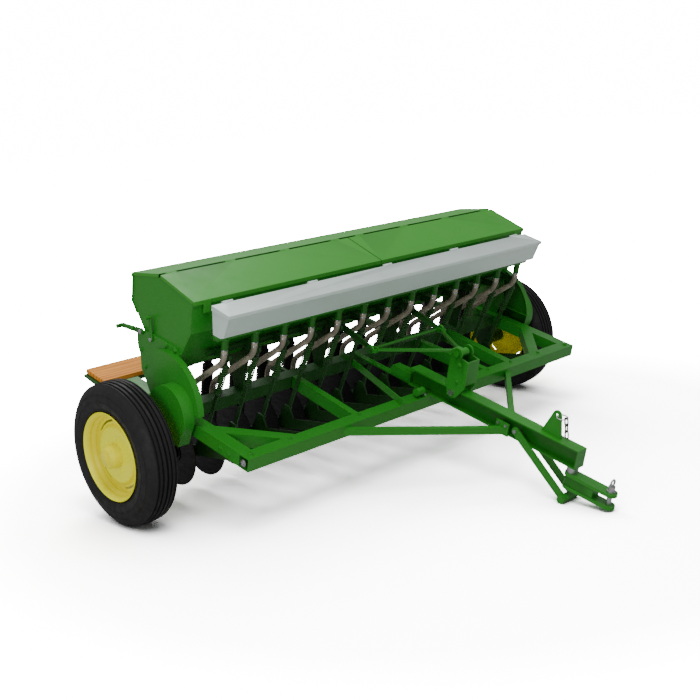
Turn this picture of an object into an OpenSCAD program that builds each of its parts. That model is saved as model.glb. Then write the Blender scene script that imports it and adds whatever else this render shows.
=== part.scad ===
// Towed grain drill with a grass-seed box: full-size machine, millimetres.
// Shapes are drawn level, with the wheel axis at the origin, +Z up and -Y toward the hitch;
// place() then stands the machine on its wheels and hitch foot.

/* [Overall] */
// Number of seed rows
rows = 13; // [9:2:15]
// Distance between neighbouring rows
row_pitch = 177.8; // [165:0.2:200]
// Parked stands on the hitch foot, level is hooked to a tractor
attitude = "parked"; // [parked, level]

/* [Wheels] */
// Tyre outside radius
wheel_r = 345; // [330:5:400]
// Tyre width
wheel_w = 180; // [160:5:200]
// Rim flange radius
rim_r = 206; // [196:2:216]
// Gap from the side rail to the tyre
wheel_gap = 116; // [110:2:150]
// Wheel spindle radius
spindle_r = 28; // [24:1:32]
// Number of wheel bolts
wheel_bolts = 5; // [4:1:8]

/* [Frame] */
// Width of the frame tubes
bar_w = 68; // [60:2:76]
// Height of the frame tubes
bar_h = 63.5; // [56:0.5:70]
// Wall of the frame tubes
bar_wall = 5; // [4:0.5:8]
// Height of the frame top above the wheel axis
bar_top = 200; // [196:1:206]
// Reach of the front bar ahead of the wheel axis
front_reach = 636; // [620:2:680]

/* [Seed box] */
// Depth of the seed box, front wall to rear wall
box_depth = 465; // [455:5:480]
// Height of the lid ridge above the wheel axis
ridge_z = 812; // [806:1:830]
// Sheet thickness of lids and decks
lid_t = 3; // [2:0.5:4]
// Sheet thickness of the box walls
wall_t = 4; // [3:0.5:6]
// Margin from the last row to the outside of the end panel
box_margin = 119; // [110:1:130]

/* [Grass box] */
// Depth of the grass-seed box at the top
grass_depth = 127; // [120:1:140]
// Sheet thickness of the grass-seed box
grass_t = 3; // [2:0.5:4]

/* [Openers] */
// Disc blade radius
disc_r = 171; // [160:1:175]
// Disc blade thickness
disc_t = 4; // [3:0.5:5]
// Seed tube outside radius
tube_r = 14.5; // [13.5:0.5:16]
// Rock shaft radius
rock_r = 16; // [14:0.5:17]

/* [Hitch] */
// Reach of the tongue ahead of the wheel axis
tongue_reach = 1530; // [1450:5:1650]
// Tongue flange width
tongue_w = 70; // [64:2:76]
// Tongue depth, flange to flange
tongue_h = 95; // [85:1:105]
// Hitch pin radius
hitch_pin_r = 12; // [10:0.5:14]

/* [Fits] */
// Radial clearance of every shaft that turns in a bore
run_gap = 0.05; // [0.02:0.01:0.1]
// Gap between faces of pieces that move past each other
face_gap = 0.5; // [0.4:0.1:1]
// Radial clearance of the seed tubes on their spouts
slip_gap = 0.2; // [0.1:0.1:0.4]

/* [Hidden] */
$fn = 48;
eps = 1;                      // over-cut so that no cut ends flush with a face
half_row = (rows - 1) / 2 * row_pitch;
box_half = half_row + box_margin;
panel_t = 5;                  // end panel sheet
rail_out = box_half + 23;     // outside of the side rails
rail_in = rail_out - bar_w;
wheel_in = rail_out + wheel_gap;
wheel_mid = wheel_in + wheel_w / 2;
bar_bot = bar_top - bar_h;
bar_rear = -front_reach + bar_w;
cross_y0 = -98;               // front face of the rear cross tube
cross_y1 = cross_y0 + bar_w;
row_x = [for (i = [0 : rows - 1]) -half_row + i * row_pitch];

// Hitch foot, and the attitude that sets it and both tyres on the ground
foot_r = 20;
foot_y = 25 - tongue_reach;
foot_z = 44;
nose_down = attitude == "level" ? 0
    : asin((wheel_r - foot_r) / norm([foot_y, foot_z])) + atan2(foot_z, -foot_y);

// Footboard
board_y0 = 530;
board_y1 = 692;
board_z = 92;
board_t = 22;

// Clevis ahead of the swivel bolt
swivel_y = foot_y + 5;
jaw_front = swivel_y - 245;
jaw_bot = 92;
jaw_top = 172;
jaw_t = 16;
jaw_half = 32;
jaw_depth = 105;              // mouth of the clevis, front to back
y_shift = -(((board_y1 - 2) * cos(nose_down) - (board_z - board_t - 16) * sin(nose_down))
    + (jaw_front * cos(nose_down) - jaw_top * sin(nose_down))) / 2;

// Seed box section
ridge_y = 97;
box_y0 = -160;
box_y1 = box_y0 + box_depth;
box_knee = 608;
box_floor = 400;
floor_y0 = -60;
floor_y1 = 110;
lid_edge_y = -169;
lid_edge_z = ridge_z - 44;
deck_edge_y = box_y1 + 12;
deck_edge_z = ridge_z - 65;
lid_slope = (ridge_z - lid_edge_z) / (ridge_y - lid_edge_y);
deck_slope = (ridge_z - deck_edge_z) / (deck_edge_y - ridge_y);
hinge_r = 7;
hinge_pin_r = 4;
hinge_y = ridge_y - 2;
hinge_z = ridge_z - hinge_r;
hinge_w = 60;
lid_half = box_half + 4;
seam = 6;                     // gap between left and right lids
lid_lip = 20;
side_lip = 12;

function lid_top(y) = lid_edge_z + (y - lid_edge_y) * lid_slope;
function deck_top(y) = ridge_z - (y - ridge_y) * deck_slope;

// Grass box section
grass_y1 = -218;
grass_y0 = grass_y1 - grass_depth;
grass_top = 748;
grass_bot = 624;
grass_half = half_row + 60;
spout_y = -252;
nozzle_r = 17;
spout_r = tube_r - 3.5;
grass_hinge_y = grass_y1 + 6;
grass_hinge_z = grass_top + 10;
rail_z = 600;                 // underside of the bar below the grass box

// Openers
drag_y = -520;
drag_z = 92;
drag_r = 14;
disc_y = 40;
disc_z = -110;
hub_r = 14;
rock_at = [-118, 470];
rod_w = 20;
rod_low = [-108, 31];
rod_top = [-225, 480];
eye_pin_r = 7;
eye_slack = 4;                // lost motion at the top eye of each press rod
lift_x = 250;
corner_at = [-405, 420];
corner_pin_r = 6;
corner_slack = 9;             // lost motion at the rear corners of the lift yoke
boss_r = 21;
support_i = (rows - 4) / 2;
boot_half = 20.5;
arm_in = 24;                  // arm plane beside each row
arm_t = 10;
rod_in = 38;                  // press rod plane beside each row
rod_t = 8;
disc_in = 26;                 // blade plane on the other side of the row

// Mast on the tongue
tongue_top = bar_top + 5 + tongue_h;
tongue_bot = bar_top + 5;
flange_t = 8;
mast_y = -776;
mast_z = 282;
mast_top = 480;
mast_pin_r = 10;

// Feed run
feed_y = 30;
feed_z = 372;
feed_r = 9;

module place() translate([0, y_shift, wheel_r]) rotate([nose_down, 0, 0]) children();
module both() { children(); mirror([1, 0, 0]) children(); }
// Prism along X from a polygon of [y, z] points
module slab(x0, x1, pts) translate([x0, 0, 0]) rotate([90, 0, 90]) linear_extrude(x1 - x0) polygon(pts);
// Prism along X from a flat shape drawn in [y, z]
module flat(x0, x1) translate([x0, 0, 0]) rotate([90, 0, 90]) linear_extrude(x1 - x0) children();
// Prism along Z from a polygon of [x, y] points
module plan(z0, z1, pts) translate([0, 0, z0]) linear_extrude(z1 - z0) polygon(pts);
module box(x0, x1, y0, y1, z0, z1) translate([x0, y0, z0]) cube([x1 - x0, y1 - y0, z1 - z0]);
module xcyl(r, x0, x1, y, z) translate([x0, y, z]) rotate([0, 90, 0]) cylinder(r = r, h = x1 - x0);
module zcyl(r, z0, z1, x, y) translate([x, y, z0]) cylinder(r = r, h = z1 - z0);
module aim(p, q) translate(p)
    rotate([0, acos((q[2] - p[2]) / norm(q - p)), atan2(q[1] - p[1], q[0] - p[0])]) children();
module strut(p, q, w, h) aim(p, q) translate([-h / 2, -w / 2, 0]) cube([h, w, norm(q - p)]);
module hexagon(r, h) cylinder(r = r, h = h, $fn = 6);
// Flat outline that wraps two circles and the two straight edges between them
module wrap2(c1, r1, c2, r2) {
    d = norm(c2 - c1);
    a = atan2(c2[1] - c1[1], c2[0] - c1[0]);
    k = acos((r1 - r2) / d);
    translate(c1) circle(r = r1);
    translate(c2) circle(r = r2);
    polygon([
        c1 + r1 * [cos(a + k), sin(a + k)], c1 + r1 * [cos(a - k), sin(a - k)],
        c2 + r2 * [cos(a - k), sin(a - k)], c2 + r2 * [cos(a + k), sin(a + k)]]);
}
module tube_x(x0, x1, y0, y1, z0, z1) difference() {
    box(x0, x1, y0, y1, z0, z1);
    box(x0 - eps, x1 + eps, y0 + bar_wall, y1 - bar_wall, z0 + bar_wall, z1 - bar_wall);
}
module tube_y(x0, x1, y0, y1, z0, z1) difference() {
    box(x0, x1, y0, y1, z0, z1);
    box(x0 + bar_wall, x1 - bar_wall, y0 - eps, y1 + eps, z0 + bar_wall, z1 - bar_wall);
}

// ---- Frame ----
module front_bar() place() color("seagreen") tube_x(-rail_out, rail_out, -front_reach, bar_rear, bar_bot, bar_top);

module rail() {
    tube_y(rail_in, rail_out, bar_rear, 300, bar_bot, bar_top);
    box(rail_in, rail_out, 300, 304, bar_bot, bar_top);
}
module rail_left() place() color("seagreen") mirror([1, 0, 0]) rail();
module rail_right() place() color("seagreen") rail();

module rear_cross() place() color("seagreen") tube_x(-rail_in, rail_in, cross_y0, cross_y1, bar_bot, bar_top);

module skew_tube(pts, inner) difference() {
    plan(bar_bot, bar_top, pts);
    plan(bar_bot + bar_wall, bar_top - bar_wall, inner);
}
module corner_brace() skew_tube(
    [[rail_in, -305], [rail_in, -390], [rail_in - 180, bar_rear], [rail_in - 262, bar_rear]],
    [[rail_in + eps, -314], [rail_in + eps, -381], [rail_in - 190, bar_rear - eps], [rail_in - 252, bar_rear - eps]]);
module corner_braces() place() color("seagreen") both() corner_brace();

module long_brace(x0, x1, w) skew_tube(
    [[x0, cross_y0], [x1, bar_rear], [x1 + w, bar_rear], [x0 + w, cross_y0]],
    [[x0 + bar_wall, cross_y0 + eps], [x1 + bar_wall, bar_rear - eps],
     [x1 + w - bar_wall, bar_rear - eps], [x0 + w - bar_wall, cross_y0 + eps]]);
module long_braces() place() color("seagreen") {
    both() long_brace(442, 474, 38);
    long_brace(690, 660, 50);
}

// Angle iron lying across the frame beside the tongue
module angle_brace() place() color("seagreen") {
    plan(bar_top, bar_top + 5, [[-240, -front_reach], [-88, -40], [-64, -40], [-216, -front_reach]]);
    plan(bar_top + 5, bar_top + 36, [[-240, -front_reach], [-88, -40], [-83, -40], [-235, -front_reach]]);
}

module axle() {
    slab(rail_out, rail_out + 16, [[-75, bar_top - 4], [75, bar_top - 4], [58, -20], [30, -52], [-30, -52], [-58, -20]]);
    xcyl(spindle_r + 12, rail_out + 16, wheel_mid - 61, 0, 0);
    xcyl(spindle_r, wheel_mid - 61, wheel_mid + 62, 0, 0);
    xcyl(spindle_r - 8, wheel_mid + 62, wheel_mid + 78, 0, 0);
    translate([wheel_mid + 62 + face_gap, 0, 0]) rotate([0, 90, 0]) hexagon(spindle_r + 6, 12);
    for (y = [-45, 45], z = [160, 185])
        translate([rail_out + 16, y, z]) rotate([0, 90, 0]) hexagon(10, 7);
}
module axle_left() place() color("dimgray") mirror([1, 0, 0]) axle();
module axle_right() place() color("dimgray") axle();

// End plate that carries the seed box on the side rail
module end_plate() difference() {
    slab(box_half, box_half + 9, [
        [-75, bar_top], [-110, 300], [-85, 470], [-60, 505], [160, 505], [245, 478],
        [237, 408], [210, 362], [198, 298], [120, bar_top]]);
    xcyl(9, box_half - eps, box_half + 10, 81, 349);
    xcyl(14, box_half - eps, box_half + 10, feed_y, feed_z);
}
module end_plates() place() {
    color("green") both() end_plate();
    color("dimgray") feed_bearing();
}

// ---- Seed box ----
box_out = [
    [box_y0, lid_top(box_y0) - lid_t - face_gap], [box_y0, box_knee], [floor_y0, box_floor],
    [floor_y1, box_floor], [box_y1, box_knee + 2], [box_y1, deck_top(box_y1) - lid_t]];
box_in = [
    [box_y0 + wall_t, ridge_z], [box_y0 + wall_t, box_knee + 1], [floor_y0 + 2, box_floor + wall_t],
    [floor_y1 - 2, box_floor + wall_t], [box_y1 - wall_t, box_knee + 4], [box_y1 - wall_t, ridge_z]];
module hopper_shell() place() color("green") {
    difference() {
        slab(-box_half + panel_t, box_half - panel_t, box_out);
        slab(-box_half, box_half, box_in);
    }
    // Strip that closes the ridge below the long hinge
    box(-box_half + panel_t, box_half - panel_t, ridge_y - 16, ridge_y + 12, hinge_z - 17, hinge_z - 14);
}
module end_panels() place() color("green") {
    divider();
    both() end_panel();
}
module end_panel() slab(box_half - panel_t, box_half, concat(box_out,
    [[ridge_y + 14, deck_top(ridge_y + 14) - lid_t], [ridge_y + 14, hinge_z - 14], [ridge_y - 18, hinge_z - 14],
     [ridge_y - 18, lid_top(ridge_y - 18) - lid_t - face_gap]]));
module divider() slab(-1.5, 1.5, [
    [box_y0 + wall_t, 740], [box_y0 + wall_t, box_knee + 1], [floor_y0 + 2, box_floor + wall_t],
    [floor_y1 - 2, box_floor + wall_t], [box_y1 - wall_t, box_knee + 4], [box_y1 - wall_t, 730]]);

hinge_x = [for (i = [0 : 3]) 60 + i * (box_half - 60 - 90) / 3];
module rear_deck() place() color("lightgreen") {
    both() {
        slab(1, box_half + 3, [
            [ridge_y + 6, deck_top(ridge_y + 6)], [ridge_y + 6, deck_top(ridge_y + 6) - lid_t],
            [deck_edge_y - lid_t, deck_top(deck_edge_y - lid_t) - lid_t], [deck_edge_y - lid_t, deck_edge_z - lid_lip],
            [deck_edge_y, deck_edge_z - lid_lip], [deck_edge_y, deck_edge_z]]);
        slab(box_half, box_half + 3, [
            [ridge_y + 6, deck_top(ridge_y + 6) - 1], [ridge_y + 6, deck_top(ridge_y + 6) - side_lip - lid_t],
            [deck_edge_y - 1, deck_top(deck_edge_y - 1) - side_lip - lid_t],
            [deck_edge_y - 1, deck_top(deck_edge_y - 1) - 1]]);
        // Fixed knuckles of the lid hinge
        for (x = hinge_x) difference() {
            union() {
                xcyl(hinge_r, x + 31, x + 60, hinge_y, hinge_z);
                box(x + 31, x + 60, hinge_y, ridge_y + 9, hinge_z, hinge_z + 3);
            }
            xcyl(hinge_pin_r, x, x + 61, hinge_y, hinge_z);
        }
    }
}
module hinge_pins() place() color("silver") both() for (x = hinge_x) xcyl(hinge_pin_r, x, x + 60, hinge_y, hinge_z);

// Front lid, right hand
module front_lid() {
    lip_x = box_half + 1;
    slab(seam / 2, lid_half, [
        [lid_edge_y, lid_edge_z], [lid_edge_y, lid_edge_z - lid_lip], [lid_edge_y + lid_t, lid_edge_z - lid_lip],
        [lid_edge_y + lid_t, lid_top(lid_edge_y + lid_t) - lid_t],
        [hinge_y - 8, lid_top(hinge_y - 8) - lid_t], [hinge_y - 8, lid_top(hinge_y - 8)]]);
    slab(lip_x, lid_half, [
        [lid_edge_y + 1, lid_top(lid_edge_y) - side_lip - lid_t], [lid_edge_y + 1, lid_top(lid_edge_y + 1) - 1],
        [hinge_y - 8, lid_top(hinge_y - 8) - 1], [hinge_y - 8, lid_top(hinge_y - 8) - side_lip - lid_t]]);
    for (x = hinge_x) difference() {
        union() {
            xcyl(hinge_r, x + face_gap, x + 31 - face_gap, hinge_y, hinge_z);
            box(x + face_gap, x + 31 - face_gap, hinge_y - 12, hinge_y, hinge_z + 3, hinge_z + 5.5);
        }
        xcyl(hinge_pin_r + run_gap, x - eps, x + 32, hinge_y, hinge_z);
    }
    // Latch tab under the outer front corner
    box(box_half - 90, box_half - 50, lid_edge_y - 3, lid_edge_y, lid_edge_z - 62, lid_edge_z - 3);
}
module lid_left() place() color("limegreen") mirror([1, 0, 0]) front_lid();
module lid_right() place() color("limegreen") front_lid();

// Plates that carry the floor of the seed box and the rock shaft
module hopper_supports() place() color("darkgreen") both() for (k = [1.5, support_i]) difference() {
    union() {
        slab(k * row_pitch - 4, k * row_pitch + 4, [
            [cross_y0, bar_top], [cross_y1, bar_top], [70, box_floor], [floor_y0, box_floor],
            [-98, 479], [-125, 452], [-118, 380], [cross_y0, 260]]);
        xcyl(boss_r, k * row_pitch - 8, k * row_pitch + 8, rock_at[0], rock_at[1]);
    }
    xcyl(rock_r + run_gap, k * row_pitch - 13, k * row_pitch + 13, rock_at[0], rock_at[1]);
    xcyl(feed_r + run_gap, k * row_pitch - 13, k * row_pitch + 13, feed_y, feed_z);
    slab(k * row_pitch - 13, k * row_pitch + 13, [
        [floor_y0, box_floor], [box_y0, box_knee], [0, box_knee], [0, box_floor]]);
}

// ---- Feed ----
module feed_cups() place() color("dimgray") for (x = row_x) difference() {
    union() {
        slab(x - 32, x + 32, [[2, box_floor], [8, 352], [30, 338], [95, 338], [100, box_floor]]);
        zcyl(9, 322, 340, x, 78);
    }
    xcyl(feed_r + run_gap, x - 33, x + 33, feed_y, feed_z);
    zcyl(6, 321, box_floor + eps, x, 78);
}
module feed_shaft() place() color("silver") {
    xcyl(feed_r, -box_half + 20, box_half + 36, feed_y, feed_z);
    xcyl(48, box_half + 22, box_half + 27, feed_y, feed_z);
    xcyl(20, box_half + 18, box_half + 31, feed_y, feed_z);
}
module feed_bearing() difference() {
    union() {
        xcyl(24, box_half + 9, box_half + 17, feed_y, feed_z);
        xcyl(14, box_half, box_half + 9, feed_y, feed_z);
    }
    xcyl(feed_r + run_gap, box_half - eps, box_half + 18, feed_y, feed_z);
}
module grain_tubes() place() color("gray") for (x = row_x) difference() {
    zcyl(12, -10, 338, x, 78);
    zcyl(9, -11, 339, x, 78);
}

// ---- Grass box ----
function grass_lid_top(y) = 759 + (y - grass_y1) * 0.05;
grass_out = [
    [grass_y0 + 2, 752 - 4], [-312, 634], [-290, grass_bot], [-237, grass_bot], [grass_y1, 752]];
grass_in = [
    [grass_y0 + 2 + grass_t, 770], [grass_y0 + 2 + grass_t, 747], [-309, 636], [-289, grass_bot + grass_t],
    [-240, grass_bot + grass_t], [grass_y1 - grass_t, 752], [grass_y1 - grass_t, 770]];
module grass_shell() place() color("darkseagreen") difference() {
    slab(-grass_half, grass_half, grass_out);
    slab(-grass_half + grass_t, grass_half - grass_t, grass_in);
}
grass_hinge_x = [for (i = [0 : 4]) -grass_half + 60 + i * (2 * grass_half - 180) / 4];
module grass_hinges() place() color("gray") for (x = grass_hinge_x) {
    difference() {
        union() {
            xcyl(6, x + 30, x + 60, grass_hinge_y, grass_hinge_z);
            box(x + 30, x + 60, grass_y1, grass_y1 + 4, 722, grass_hinge_z);
        }
        xcyl(3, x, x + 61, grass_hinge_y, grass_hinge_z);
        slab(x, x + 61, [[grass_y1, 752], [grass_y1 - 19, 628], [grass_y1 - 19, 752]]);
    }
    xcyl(3, x, x + 60, grass_hinge_y, grass_hinge_z);
}
module grass_lid() place() color("gainsboro") {
    slab(-grass_half - 6, grass_half + 6, [
        [grass_y0 - 2, grass_lid_top(grass_y0)], [grass_y0 - 2, grass_lid_top(grass_y0) - 16],
        [grass_y0 + face_gap - 1, grass_lid_top(grass_y0) - 16], [grass_y0 + face_gap - 1, grass_lid_top(grass_y0) - 3],
        [grass_y1 - 2, grass_lid_top(grass_y1) - 3], [grass_y1 - 2, grass_lid_top(grass_y1)]]);
    both() box(grass_half + 3, grass_half + 6, grass_y0 - 1, grass_y1 - 4, 736, 753);
    for (x = grass_hinge_x) difference() {
        union() {
            xcyl(6, x + face_gap, x + 30 - face_gap, grass_hinge_y, grass_hinge_z);
            box(x + face_gap, x + 30 - face_gap, grass_y1 - 5, grass_hinge_y, 756.5, 761);
        }
        xcyl(3 + run_gap, x, x + 31, grass_hinge_y, grass_hinge_z);
    }
}
module grass_brackets() place() color("darkseagreen") for (k = [-support_i - 1 : 2 : support_i + 1])
    slab(k * row_pitch - 4, k * row_pitch + 4, [
        [box_y0, 640], [box_y0, 730], [grass_y1 - (752 - 730) * 19 / 128, 730], [grass_y1 - (752 - 640) * 19 / 128, 640]]);
module grass_bar() box(-grass_half, grass_half, -270, -238, rail_z, grass_bot);
module nozzles() place() color("dimgray") {
    grass_bar();
    for (x = row_x) nozzle(x);
}
module nozzle(x) {
    zcyl(nozzle_r + 5, rail_z - 6, rail_z, x, spout_y);
    zcyl(nozzle_r, 545, rail_z - 6, x, spout_y);
    zcyl(spout_r, drop_z + 1, 545, x, spout_y);
}
// Curved drop tube: two bends and three straight runs
bend_r = 90;
bend_a = 47.5;
drop_y = 34;
drop_z = 520;
run_y0 = spout_y + bend_r * (1 - cos(bend_a));
run_z0 = drop_z - bend_r * sin(bend_a);
run_y1 = drop_y - bend_r * (1 - cos(bend_a));
run_z1 = run_z0 - (run_y1 - run_y0) / tan(bend_a);
module ring2d() difference() { circle(r = tube_r); circle(r = spout_r + slip_gap); }
module seed_tube(x) {
    translate([x, spout_y, drop_z]) linear_extrude(25) ring2d();
    translate([x, spout_y + bend_r, drop_z]) rotate([90, 0, 90]) rotate([0, 0, 180]) bend();
    translate([x, run_y0, run_z0]) rotate([180 + bend_a, 0, 0])
        linear_extrude(norm([run_y1 - run_y0, run_z1 - run_z0])) ring2d();
    translate([x, drop_y - bend_r, run_z1 - bend_r * sin(bend_a)]) rotate([90, 0, 90]) bend();
    translate([x, drop_y, -10]) linear_extrude(run_z1 - bend_r * sin(bend_a) + 10) ring2d();
}
module bend() rotate_extrude(angle = bend_a) translate([bend_r, 0]) ring2d();
module seed_tubes() place() color("gray") for (x = row_x) seed_tube(x);

// ---- Shields ----
guard_x = box_half + 9;
guard_w = 33;
module big_outline(r) intersection() {
    translate([-40, 222]) circle(r = r);
    translate([-40 - r, 258 - (r - 258)]) square([r + 100, 300]);
}
module big_shield() difference() {
    flat(guard_x, guard_x + guard_w) big_outline(258);
    flat(guard_x - eps, guard_x + guard_w - 4) big_outline(254);
    box(guard_x - eps, guard_x + guard_w - 4, -40, 100, 250, 470);
}
module big_shields() place() color("green") both() big_shield();
module small_outline(r) {
    translate([-137, 228]) circle(r = r);
    polygon([[-137 - r, 228], [-106 - r, 102], [-150, 102 - (r - 134)], [-137 + r, 228]]);
}
module small_shield() difference() {
    flat(guard_x + guard_w, guard_x + guard_w + 62) small_outline(134);
    flat(guard_x + guard_w - eps, guard_x + guard_w + 58) small_outline(130);
}
module small_shields() place() color("green") both() small_shield();

// ---- Openers ----
bracket_i = [for (i = [0 : rows - 2]) row_x[i] + row_pitch / 2];
module drag_brackets() place() color("darkgreen") for (x = bracket_i) difference() {
    union() {
        slab(x - 4, x + 4, [
            [bar_rear - 50, bar_bot], [bar_rear - 4, bar_bot], [drag_y + 22, drag_z + 13],
            [drag_y - 10, drag_z - 20], [drag_y - 40, drag_z - 12]]);
        flat(x - 4, x + 4) translate([drag_y, drag_z]) circle(r = 26);
        xcyl(22, x - 16, x + 16, drag_y, drag_z);
    }
    xcyl(drag_r, x - 17, x + 17, drag_y, drag_z);
}
module drag_rod() place() color("silver") xcyl(drag_r, row_x[0] - 10, row_x[rows - 1] + 60, drag_y, drag_z);

module opener_arms() place() color("darkseagreen") for (x = row_x) {
    difference() {
        union() {
            flat(x + arm_in, x + arm_in + arm_t) wrap2([drag_y, drag_z], 26, [disc_y, disc_z], 26);
            slab(x + arm_in, x + arm_in + arm_t, [[10, -75], [92, -40], [92, -85], [50, -125]]);
            slab(x + arm_in, x + arm_in + arm_t, [[-165, -20], [-50, -60], [-88, 45], [-126, 45]]);
            xcyl(26, x + 14, x + 44, drag_y, drag_z);
        }
        xcyl(drag_r + run_gap, x + 13, x + 45, drag_y, drag_z);
    }
    // Disc spindle
    xcyl(12, x - disc_in - 15, x + arm_in, disc_y, disc_z);
    xcyl(18, x - disc_in - 20, x - disc_in - 15, disc_y, disc_z);
    xcyl(18, x - disc_in + 4, x + arm_in, disc_y, disc_z);
    // Press rod pin
    xcyl(eye_pin_r, x + arm_in + arm_t, x + rod_in + rod_t + 6, rod_low[0], rod_low[1]);
    xcyl(eye_pin_r + 5, x + rod_in + rod_t + 2, x + rod_in + rod_t + 6, rod_low[0], rod_low[1]);
}
module opener_boots() place() color("dimgray") for (x = row_x) {
    difference() {
        slab(x - boot_half, x + boot_half, [
            [11, 70], [11, -20], [60, -84], [66, -235], [92, -235], [102, -110], [109, -20], [109, 70]]);
        slab(x - boot_half + 2.5, x + boot_half - 2.5, [
            [14, 71], [14, -21], [63, -85], [69, -236], [89, -236], [99, -110], [106, -20], [106, 71]]);
    }
    box(x + boot_half, x + arm_in, 64, 88, -80, -50);
}
module disc_blades() place() color("black") for (x = row_x) difference() {
    union() {
        xcyl(disc_r, x - disc_in - disc_t, x - disc_in, disc_y, disc_z);
        xcyl(34, x - disc_in - 14.5, x - disc_in + 3.5, disc_y, disc_z);
        xcyl(50, x - disc_in - disc_t - 4, x - disc_in - disc_t, disc_y, disc_z);
    }
    xcyl(12 + run_gap, x - disc_in - 16, x - disc_in + 5, disc_y, disc_z);
}
module press_rods() place() color("green") for (x = row_x) difference() {
    flat(x + rod_in, x + rod_in + rod_t) union() {
        wrap2(rod_low, rod_w / 2, rod_top, rod_w / 2);
        translate(rod_low) circle(r = rod_w / 2 + 6);
        translate(rod_top) circle(r = rod_w / 2 + 8);
    }
    xcyl(eye_pin_r + run_gap, x + rod_in - eps, x + rod_in + rod_t + 1, rod_low[0], rod_low[1]);
    xcyl(eye_pin_r + eye_slack, x + rod_in - eps, x + rod_in + rod_t + 1, rod_top[0], rod_top[1]);
}

// ---- Lift ----
module rockshaft() place() color("darkgreen") {
    xcyl(rock_r, row_x[0] + 10, row_x[rows - 1] + 62, rock_at[0], rock_at[1]);
    for (x = row_x) {
        difference() {
            flat(x + rod_in + rod_t + 2, x + rod_in + rod_t + 10) wrap2(rock_at, rock_r + 4, rod_top, 14);
            xcyl(rock_r, x, x + 90, rock_at[0], rock_at[1]);
        }
        xcyl(eye_pin_r, x + rod_in - 6, x + rod_in + rod_t + 2, rod_top[0], rod_top[1]);
        xcyl(eye_pin_r + 7, x + rod_in - 6, x + rod_in - 2, rod_top[0], rod_top[1]);
    }
    both() {
        difference() {
            flat(lift_x - 5, lift_x + 5) wrap2(rock_at, rock_r + 5, corner_at, 13);
            xcyl(rock_r, lift_x - 6, lift_x + 6, rock_at[0], rock_at[1]);
        }
        xcyl(corner_pin_r, lift_x + 5, lift_x + 22, corner_at[0], corner_at[1]);
        xcyl(corner_pin_r + corner_slack + 4, lift_x + 18, lift_x + 22, corner_at[0], corner_at[1]);
    }
}
apex_at = [mast_y, mast_top + 10];
module lift_yoke() place() color("seagreen") {
    difference() {
        union() {
            xcyl(20, -26, 26, apex_at[0], apex_at[1]);
            box(-26, 26, apex_at[0], apex_at[0] + 48, apex_at[1] - 12, apex_at[1] + 8);
        }
        xcyl(mast_pin_r + run_gap, -27, 27, apex_at[0], apex_at[1]);
    }
    xcyl(8, -lift_x + 12, lift_x - 12, corner_at[0], corner_at[1]);
    both() difference() {
        union() {
            strut([14, apex_at[0] + 40, apex_at[1] - 3], [lift_x - 8, corner_at[0] - 24, corner_at[1] + 4], 18, 12);
            xcyl(corner_pin_r + corner_slack + 7, lift_x + 6, lift_x + 17, corner_at[0], corner_at[1]);
            slab(lift_x - 18, lift_x - 6, [
                [corner_at[0] - 34, corner_at[1] + 14], [corner_at[0] - 34, corner_at[1] - 8],
                [corner_at[0] + 8, corner_at[1] - 10], [corner_at[0] + 8, corner_at[1] + 10]]);
            box(lift_x - 12, lift_x + 17, corner_at[0] - 36, corner_at[0] - 20, corner_at[1] - 7, corner_at[1] + 9);
        }
        xcyl(corner_pin_r + corner_slack, lift_x + 5, lift_x + 18, corner_at[0], corner_at[1]);
        xcyl(mast_pin_r + run_gap, -27, 27, apex_at[0], apex_at[1]);
    }
}
module mast() place() color("seagreen") {
    both() difference() {
        flat(tongue_w / 2 + 1, tongue_w / 2 + 9) union() {
            polygon([[-850, 330], [-803, 262], [-749, 262], [-735, 330], [-735, 470], [-745, 484], [-850, 470]]);
            translate([mast_y, mast_z]) circle(r = 28);
            translate(apex_at) circle(r = 31);
        }
        xcyl(mast_pin_r + run_gap, tongue_w / 2, tongue_w / 2 + 10, mast_y, mast_z);
        xcyl(mast_pin_r, tongue_w / 2, tongue_w / 2 + 10, apex_at[0], apex_at[1]);
    }
    box(-tongue_w / 2 - 1, tongue_w / 2 + 1, -850, -842, 345, 470);
    xcyl(mast_pin_r, -tongue_w / 2 - 9, tongue_w / 2 + 9, apex_at[0], apex_at[1]);
    both() xcyl(mast_pin_r + 6, tongue_w / 2 + 9, tongue_w / 2 + 17, apex_at[0], apex_at[1]);
}
module mast_bolt() place() color("silver") {
    xcyl(mast_pin_r, -tongue_w / 2 - 12, tongue_w / 2 + 12, mast_y, mast_z);
    both() translate([tongue_w / 2 + 10, mast_y, mast_z]) rotate([0, 90, 0]) hexagon(mast_pin_r + 7, 9);
}

// ---- Tongue and hitch ----
tongue_rear = -490;
module tongue() place() color("seagreen") {
    half = tongue_w / 2;
    difference() {
        union() {
            box(-half, half, -tongue_reach, tongue_rear, tongue_bot, tongue_bot + flange_t);
            box(-half, half, -tongue_reach, tongue_rear, tongue_top - flange_t, tongue_top);
            box(-flange_t / 2, flange_t / 2, -tongue_reach, tongue_rear, tongue_bot, tongue_top);
            box(-half, half, -tongue_reach, -tongue_reach + 6, tongue_bot, tongue_top);
            box(-half + 8, half - 8, tongue_rear, -360, tongue_bot, tongue_bot + 57);
            xcyl(mast_pin_r + 8, -half, half, mast_y, mast_z);
        }
        xcyl(mast_pin_r, -half - 1, half + 1, mast_y, mast_z);
    }
    box(-60, 60, -front_reach, bar_rear, bar_top, tongue_bot);
    tongue_lug();
    tongue_tie();
}
module tongue_bolts() both() for (y = [-front_reach + 16, bar_rear - 16])
    translate([48, y, tongue_bot]) hexagon(9, 9);
module tongue_tie() {
    box(-18, 18, -360, cross_y1 - 6, bar_top, bar_top + 8);
    box(-27, 27, -368 + 8, -352, bar_top + 8, bar_top + 50);
}
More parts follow.
